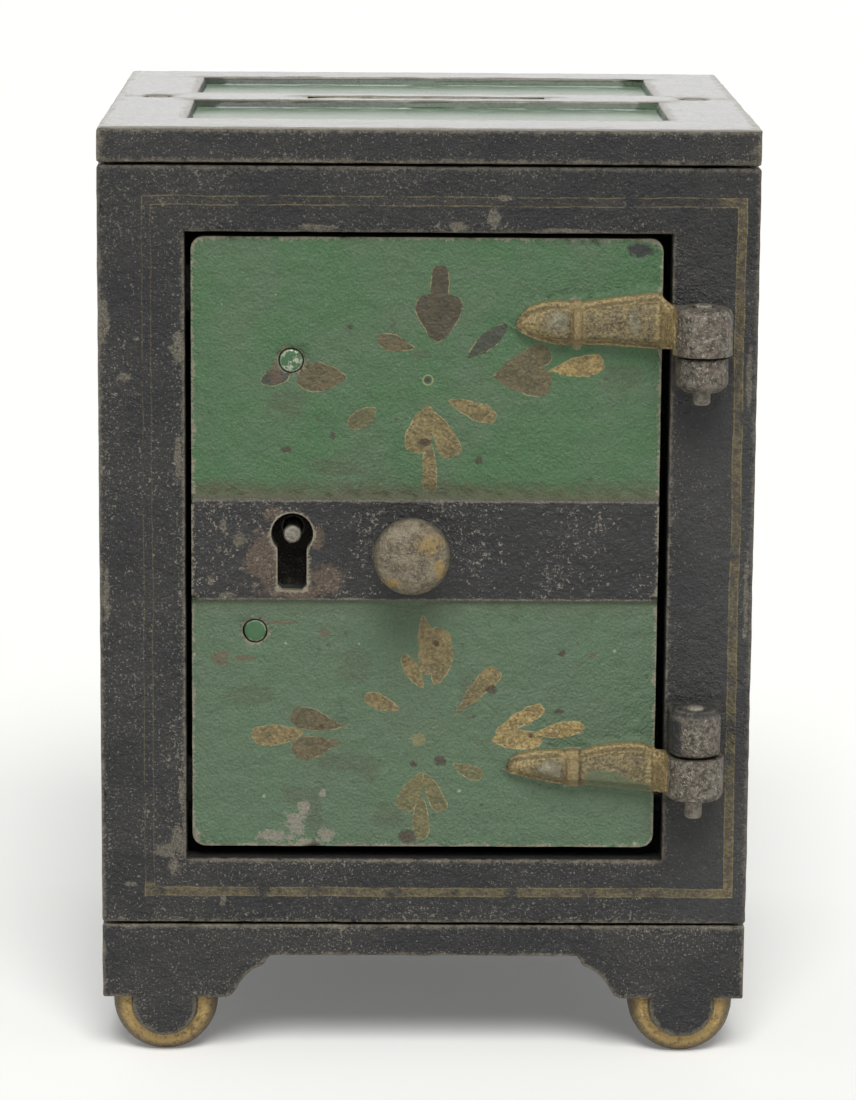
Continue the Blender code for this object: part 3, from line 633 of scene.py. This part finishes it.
def band_paint(s, surface, pebble, fine, ragged):
    """The black band across the door, rusty round the keyhole, with thin worn edges."""
    band = s.step(s.z, 59.45, 59.6) * s.step(s.z, 72.55, 72.4) * s.step(s.y, 1.8, 1.4)
    black = s.mix(s.noise(8, 3, 71.0), BLACK_A, BLACK_B)
    # pale flecks on the band: partly bare iron, partly painted glints on the pebbles
    freckle_and_glint = s.step(fine * 0.6 + pebble * 0.4 + (s.noise(7, 2, 73.0) - 0.5) * 0.35, 0.6, 0.66)
    surface.over(band, black, 0.42, 0.0)
    surface.over(band * freckle_and_glint * 0.7, SPECK_AND_GLINT, 0.55)
    rust = s.blots((
        (-20.4, 64.5, 2.6, 4.2), (-12.6, 62.2, 2.6, 2.2), (-19.0, 70.5, 1.6, 1.2), (-14.0, 67.5, 1.3, 2.0),
        (-16.5, 60.6, 5.5, 0.9),
    ), 0.5, 1.1, 15.0)
    rusty = s.mix(fine, rgb(84, 68, 54), rgb(118, 102, 84))
    surface.over(band * s.gritty(rust, 6.0, 0.35) * 0.8, rusty, 0.65)
    chips = s.blots((
        (-23.5, 67.2, 1.0, 1.0), (-27.0, 62.0, 0.5, 0.8), (-25.5, 69.0, 0.5, 1.2), (-26.0, 66.0, 0.4, 0.5),
        (-25.0, 60.2, 1.2, 0.5),
    ), 0.6, 0.6, 17.0)
    surface.over(band * s.gritty(chips, 7.0) * 0.7, s.mix(fine, rgb(134, 126, 110), rgb(96, 90, 78)), 0.6)
    specks = s.step(s.noise(0.5, 2, 74.0, 0.6) + (s.noise(6, 2, 75.0) - 0.5) * 0.2, 0.66, 0.71)
    surface.over(band * specks * 0.7, BARE, 0.5)
    leg = s.top(abs(s.x - KEYHOLE_X) - 1.84, abs(s.z - 64.4) - 3.55)
    hole = s.low(s.away(KEYHOLE_X, KEYHOLE_Z) - 2.65, leg)
    surface.over(s.step(hole, 0.24, 0.12) * band * 0.75, rgb(140, 126, 110), 0.4, 0.4)
    line = s.step(s.low(abs(s.z - 59.65), abs(s.z - 72.35)) + (ragged - 0.5) * 0.8, 0.28, 0.1)
    edge_metal = s.mix(fine, rgb(100, 94, 82), rgb(136, 130, 116))
    surface.over(s.gritty(line, 9.0, 0.4) * band * 0.8, edge_metal, 0.5, 0.15)


def strap_paint(s, surface, fine, ragged):
    """Gilt on the two straps: bright on the border, browned on the body, worn grey in places, with stray
    green on the lower one and bare iron on the knuckles."""
    proud = s.step(s.y + (ragged - 0.5) * 0.25, 0.66, 0.46) * s.step(s.x, 9.8, 10.2)
    reach = s.top(
        s.step(abs(s.z - UPPER_STRAP_Z), 4.6, 4.3), s.step(abs(s.z - LOWER_STRAP_Z), 4.4, 4.1)
    )
    strap = proud * reach
    lower = s.step(s.z, 61, 60)
    grain = s.noise(0.35, 4, 81.0, 0.75)
    gilt = s.mix(s.step(grain, 0.36, 0.62), rgb(100, 90, 62), rgb(156, 138, 94))
    surface.over(strap, gilt, 0.4, 0.25)
    body = s.step(s.y + (ragged - 0.5) * 0.5, -0.75, -1.15) * s.step(s.x, 28.6, 27.6)
    tarnish = s.noise(1.5, 4, 83.0, 0.7)
    brown = s.mix(s.step(grain, 0.4, 0.6), rgb(72, 65, 48), rgb(122, 110, 80))
    depth = s.blend(s.step(tarnish, 0.34, 0.56), 0.45, 0.95)
    surface.over(strap * body * depth, brown, 0.45, 0.2)
    # painted shade in the straps' inner corners and grooves
    strap_crease_shade = s.step(s.crease + (ragged - 0.5) * 0.4, 0.4, 0.15)
    surface.over(strap * strap_crease_shade * 0.6, rgb(58, 48, 32), 0.6, 0.1)
    bead = s.step(abs(s.x - 18.55), 1.0, 0.7)
    surface.over(strap * bead * 0.6, s.mix(grain, rgb(108, 94, 64), rgb(160, 140, 96)), 0.4, 0.25)
    worn = s.blots(((16.0, 95.2, 1.5, 1.5), (15.9, 38.3, 1.9, 1.3), (25.5, 95.2, 0.8, 1.6)), 0.6, 0.7, 19.0)
    grey = s.mix(s.step(tarnish, 0.4, 0.6), rgb(84, 84, 70), rgb(134, 130, 108))
    surface.over(strap * worn * 0.7, grey, 0.42, 0.25)
    edge = s.math("SINE", (s.x - 19.5) * 0.55) * 0.9 + 37.4
    stray = s.step(s.z - edge + (ragged - 0.5) * 1.8, 0.4, -0.3)
    stray = stray * s.step(s.x, 19.6, 21.0) * s.step(s.x, 28.8, 28.0)
    surface.over(strap * stray * lower * 0.8, rgb(84, 98, 72), 0.5, 0.0)
    collar = s.step(s.x, 28.7, 29.0)
    bright = s.mix(s.step(grain, 0.4, 0.6), rgb(110, 97, 68), rgb(168, 146, 102))
    surface.over(strap * collar, bright, 0.38, 0.25)
    iron_lug(s, surface, s.step(s.x + (ragged - 0.5) * 0.5, 30.3, 30.6))


def top_paint():
    """Top casting: glossy worn black, with green in the two recessed panels."""
    s = Shader("top_casting_paint")
    surface = black_paint(s, 2.0, speck=-0.025, edge=0.15)
    ragged = s.noise(1.4, 4, 91.0, 0.7)
    inside = s.step(abs(s.x), 30.9, 30.6)
    near = s.step(abs(s.y - 23.75), 12.7, 12.4)
    far = s.step(abs(s.y - 57.2), 12.1, 11.8)
    floor = s.step(s.z, LID_Z + 0.1, LID_Z - 0.1)
    green = s.mix(s.noise(4, 3, 93.0), rgb(60, 98, 66), rgb(92, 112, 84))
    recess = inside * s.top(near, far)
    share = recess * floor
    surface.over(share * 0.95, green, 0.4)
    # painted shade on the walls of the two recesses, stronger towards the left
    hollow_shade = s.step(s.z, 117.9, 118.2) * s.blend(s.step(s.x, -26.0, 4.0), 0.85, 0.45)
    surface.over(share * hollow_shade, rgb(34, 38, 32), 0.6)
    surface.over(share * s.step(ragged, 0.6, 0.72) * 0.5, rgb(84, 80, 62), 0.5)
    lid = s.step(s.z, LID_Z - 0.1, LID_Z + 0.1)
    surface.over(lid, rough=0.3)
    # lighter lid: worn paint, and partly a painted sheen standing in for the top's bright grazing reflection
    surface.over(lid * 0.8, s.mix(ragged, rgb(54, 53, 50), rgb(104, 100, 90)))
    grit = s.noise(0.45, 3, 94.0, 0.7, stretch=(1, 0.4, 1))
    rubbed = lid * s.step(s.wear + (ragged - 0.5) * 2.4 + (grit - 0.5) * 2.0, 1.2, 0.3)
    surface.over(rubbed * 0.7, s.mix(grit, rgb(86, 78, 64), rgb(150, 142, 122)), 0.5)
    glossy = s.top(lid, share * 0.3, recess * s.step(s.z, 118.3, 118.0))
    surface.height = surface.height * (1.0 - glossy * 0.55)
    gloss = s.blend(s.step(grit, 0.34, 0.54), 0.56, 0.84)
    return surface.done(coat=glossy * gloss * (1.0 - rubbed * 0.35))


def base_paint():
    """Base casting: black, with a gilt ring round each half-round foot."""
    s = Shader("base_casting_paint")
    surface = black_paint(s, 3.0)
    ragged = s.noise(0.8, 4, 95.0, 0.7)
    away = ((abs(s.x) - FOOT_X) ** 2.0 + (s.z - FOOT_Z) ** 2.0) ** 0.5 + (ragged - 0.5) * 0.5
    ring = s.step(away, 4.1, 4.4) * s.step(s.z, 7.7, 7.4) * s.step(abs(s.y - 39.0), 31.5, 32.0)
    # the gilt ring darkens towards its outer edge: partly wear, partly painted shade where the rounded rim
    # turns away
    gilt = s.mix(s.step(away, 5.0, 6.5), rgb(170, 144, 92), rgb(88, 76, 56))
    gilt = s.mix(s.step(ragged, 0.48, 0.64) * 0.6, gilt, rgb(84, 70, 50))
    surface.over(ring, gilt, 0.42, 0.3)
    return surface.done()


def wall_paint(name, seed):
    """A side or back wall: black."""
    return black_paint(Shader(name), seed).done()


def iron_paint(name, seed, light=rgb(130, 121, 102), dark=rgb(78, 70, 58), gilt=False):
    """Bare handled iron, mottled and pitted, with traces of gilt."""
    s = Shader(name)
    mottle = s.noise(0.5, 4, seed, 0.75)
    broad = s.noise(2.2, 3, seed + 1, 0.6)
    pit = s.noise(0.2, 2, seed + 2)
    colour = s.mix(s.step(mottle * 0.6 + broad * 0.4, 0.38, 0.62), dark, light)
    height = mottle * 0.25 + pit * 0.12 + s.noise(1.6, 2, seed + 7) * 0.3
    surface = Surface(s, colour, 0.46, height, 0.45)
    surface.over(s.step(pit, 0.62, 0.7) * 0.6, rgb(170, 162, 146), 0.4)
    surface.over(s.step(s.noise(1.2, 3, seed + 4, 0.7), 0.58, 0.68) * 0.6, rgb(96, 80, 62), 0.55, 0.2)
    if gilt:
        trace = s.blots(
            ((-4.2, 63.6, 1.6, 0.8), (0.2, 68.3, 1.6, 1.4), (1.6, 65.2, 0.8, 1.4)), 0.9, 0.8, seed
        )
        surface.over(s.gritty(trace, 8.0, 0.5) * 0.8, rgb(150, 126, 74), 0.4, 0.4)
    surface.over(s.step(s.wear + (mottle - 0.5) * 0.8, 0.3, 0.05) * 0.6, rgb(160, 152, 138), 0.38, 0.6)
    return surface.done()


def rivet_paint(name, rivet, chipped):
    """A rivet end under green paint, bright round its rim, and on one side where it has chipped."""
    s = Shader(name)
    ragged = s.noise(0.6, 4, 99.0, 0.7)
    green = s.mix(s.noise(0.9, 3, 98.0), rgb(50, 84, 54), rgb(66, 100, 66))
    surface = Surface(s, green, 0.38, ragged * 0.08)
    rim = s.step(s.away(*rivet) + (ragged - 0.5) * 0.5, 1.16, 1.3)
    surface.over(rim * s.step(s.noise(1.3, 2, 97.0), 0.42, 0.56) * 0.7, rgb(150, 160, 128), 0.35, 0.3)
    if chipped:
        bare = s.step(ragged + s.step(s.x - s.z, -107.3, -106.2) * 0.08, 0.56, 0.6)
        surface.over(bare, s.mix(ragged, rgb(126, 136, 116), rgb(168, 172, 152)), 0.3, 0.3)
    surface.over(s.step(s.y, 2.0, 3.0), rgb(78, 72, 64), 0.5, 0.5)
    return surface.done()


# ---------------------------------------------------------------- pieces


def hinge_side(p):
    """Mesh size of the front pieces: fine on the straps and knuckles, coarse behind."""
    if p.y < FRONT_Y + 0.3 and p.x > 9.5 and (abs(p.z - 94) < 8 or abs(p.z - 40) < 8):
        return 0.55
    return 1.8 if p.y < FRONT_Y + 1.5 else 5.0


def outside(p):
    """Mesh size of the lid and walls: finer at the sides and back of the case."""
    return 1.9 if max(abs(p.x) - 2, abs(p.y)) > 38.2 else 5.0


def rod_top(p):
    """Mesh size of the tie rods: fine at the ends that show."""
    return 0.6 if p.z > 117 else 9.0


def strap_zone(p):
    """The straps, without their knuckles."""
    return p.y < FRONT_Y - 0.1 and 10 < p.x < 29.6


def crisp(p):
    """The rivet holes, the straps and the long edges of the band, which are not bevelled."""
    hole = min(math.dist((p.x, p.z), rivet) for rivet in (UPPER_RIVET, LOWER_RIVET)) < 1.75
    band_edge = p.y < FRONT_Y + 1 and abs(abs(p.z - BAND_Z) - BAND_HALF) < 0.1
    return hole or strap_zone(p) or band_edge


def inside_lid(p):
    """All of the lid but its outer edges."""
    return max(abs(p.x), abs(p.y)) < 32


def build_pieces():
    """A skin for each CAD node."""
    black = dict(slot="black_iron", clamp=False)
    casting("front_frame", paint=frame_paint(), bevel=0.4, grain=hinge_side, seed=1, **black)
    casting(
        "door", "green_iron", door_paint(), bevel=0.25, grain=hinge_side, chip=0.0, smooth=(strap_zone, 2),
        keep=crisp, seed=2,
    )
    casting("top_casting", paint=top_paint(), bevel=0.55, grain=outside, keep=inside_lid, seed=3, **black)
    casting("base_casting", paint=base_paint(), bevel=0.3, grain=1.9, seed=4, **black)
    for seed, node in enumerate(("left_wall", "right_wall", "back_wall"), 5):
        paint = wall_paint(node + "_paint", seed * 1.0)
        casting(node, paint=paint, bevel=0.4, grain=outside, seed=seed, **black)
    small = dict(bevel=0.12, grain=0.7, wobble=0.03, chip=0.03)
    casting("knob", "bare_iron", iron_paint("knob_iron", 101.0, gilt=True), **small, seed=8)
    pins = iron_paint("pin_iron", 107.0, rgb(140, 134, 122), rgb(84, 80, 72))
    for node in ("hinge_pin_upper", "hinge_pin_lower"):
        casting(node, "bare_iron", pins, **small, seed=9)
    for node in ("tie_rod_left", "tie_rod_right"):
        casting(node, "bare_iron", pins, bevel=0.12, grain=rod_top, wobble=0.02, chip=0.03, seed=9)
    casting("lock_rivet_upper", "green_iron", rivet_paint("upper_rivet_paint", UPPER_RIVET, True), **small)
    casting("lock_rivet_lower", "green_iron", rivet_paint("lower_rivet_paint", LOWER_RIVET, False), **small)
    small["grain"] = 1.5
    dark_iron = iron_paint("bridge_iron", 113.0, rgb(52, 48, 44), rgb(26, 24, 22))
    casting("lock_bridge", "bare_iron", dark_iron, **small)
    steel = iron_paint("lock_steel", 119.0, rgb(150, 146, 136), rgb(104, 100, 92))
    for node in ("key_post", "lock_bolt", "bolt_guide_stud", "bolt_spring"):
        casting(node, "lock_steel", steel, **small)


# ---------------------------------------------------------------- stage, light and camera


def make_floor():
    """A plain white floor, 12 m square."""
    mesh = bpy.data.meshes.new("floor")
    half = 6.0
    corners = [(-half, -half, 0), (half, -half, 0), (half, half, 0), (-half, half, 0)]
    mesh.from_pydata(corners, [], [(0, 1, 2, 3)])
    s = Shader("floor_white")
    mesh.materials.append(s.done(rgb(236, 236, 233), 0.8, 0.0, specular=0.1, glow=0.13))
    floor = bpy.data.objects.new("floor", mesh)
    bpy.context.scene.collection.objects.link(floor)


def make_light():
    """Soft light from above and in front, with some from the right and behind, in a white room.

    The room is dimmer as a light than as it shows to the camera and in reflections.
    """
    world = bpy.data.worlds.new("white_room")
    bpy.context.scene.world = world
    world.use_nodes = True
    tree = world.node_tree
    background = tree.nodes["Background"]
    background.inputs["Color"].default_value = (1.0, 1.0, 0.99, 1.0)
    path = tree.nodes.new("ShaderNodeLightPath")
    strength = tree.nodes.new("ShaderNodeMapRange")
    tree.links.new(path.outputs["Is Diffuse Ray"], strength.inputs["Value"])
    strength.inputs["To Min"].default_value = 0.97
    strength.inputs["To Max"].default_value = 0.23
    tree.links.new(strength.outputs[0], background.inputs["Strength"])
    suns = (
        ("key", (0.04, -0.75, 1.0), 32, 2.8),
        ("side", (0.75, -0.45, 0.7), 70, 0.15),
        ("back", (-0.35, 0.9, 0.6), 90, 0.4),
    )
    for name, direction, angle, power in suns:
        sun = bpy.data.lights.new(name, "SUN")
        sun.angle, sun.energy = math.radians(angle), power
        obj = bpy.data.objects.new(name, sun)
        obj.rotation_euler = Vector(direction).to_track_quat("Z", "Y").to_euler()
        bpy.context.scene.collection.objects.link(obj)


def make_camera():
    """The viewing angle: slightly above, nearly square to the front, through a long lens."""
    place = Vector((-6.355, -555.064, 171.968)) * MM
    pitch, yaw, roll = 0.20065, 0.01258, 0.0075  # radians
    ahead = Vector((math.sin(yaw) * math.cos(pitch), math.cos(yaw) * math.cos(pitch), -math.sin(pitch)))
    level = Vector((math.cos(yaw), -math.sin(yaw), 0))
    right = level * math.cos(roll) + level.cross(ahead) * math.sin(roll)
    up = right.cross(ahead)
    camera = bpy.data.objects.new("camera", bpy.data.cameras.new("camera"))
    camera.matrix_world = Matrix((
        (right.x, up.x, -ahead.x, place.x),
        (right.y, up.y, -ahead.y, place.y),
        (right.z, up.z, -ahead.z, place.z),
        (0, 0, 0, 1),
    ))
    camera.data.lens, camera.data.sensor_width = 138.6, 36
    camera.data.clip_start, camera.data.clip_end = 0.01, 100
    bpy.context.scene.collection.objects.link(camera)
    bpy.context.scene.camera = camera
    bpy.context.scene.view_settings.view_transform = "Standard"


build_pieces()
make_floor()
make_light()
make_camera()
